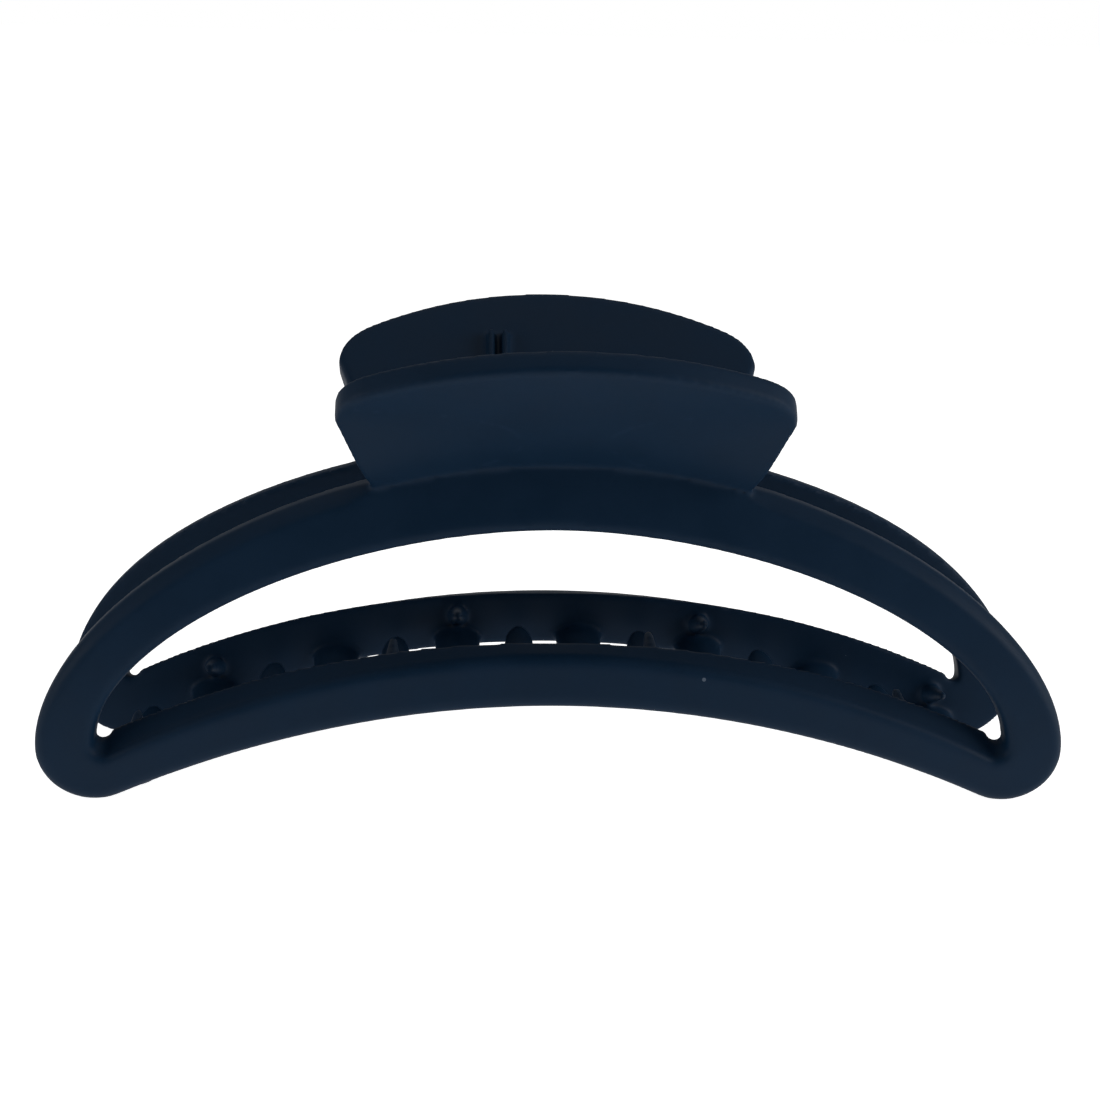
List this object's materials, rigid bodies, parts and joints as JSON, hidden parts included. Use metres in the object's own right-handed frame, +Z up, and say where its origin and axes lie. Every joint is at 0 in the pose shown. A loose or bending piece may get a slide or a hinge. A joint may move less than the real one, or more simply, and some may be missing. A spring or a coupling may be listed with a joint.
{
  "type": "claw clip",
  "caption": "Large open-frame hair claw clip: two identical moulded jaws with meshing curved teeth and thumb tabs, on a steel pin with a closing torsion spring.",
  "frame": {"origin": "middle of the clip's length and depth, at the height of the four jaw ends it stands on when closed", "axes": "+X along the clip's length, +Y from the front jaw to the back jaw, +Z up from the teeth to the thumb tabs"},
  "size_m": [0.1092, 0.0386, 0.05],
  "materials": {
    "navy_plastic": "soft-touch matte navy, opaque, faintly grained",
    "pin_steel": "bright drawn rod",
    "spring_steel": "zinc-bright drawn spring wire"
  },
  "bodies": {
    "back_jaw": {"back_jaw": "navy_plastic", "hinge_pin": "pin_steel", "torsion_spring": "spring_steel"},
    "front_jaw": {"front_jaw": "navy_plastic"}
  },
  "joints": [
    {"name": "jaw_hinge", "type": "hinge", "parent": "back_jaw", "child": "front_jaw", "pos_m": [0, 0, 0.0381], "axis": [-1, 0, 0], "range_deg": [0, 100], "stiffness_Nm_per_rad": 0.07, "springref_deg": -51.57, "deforming": ["torsion_spring"]}
  ]
}
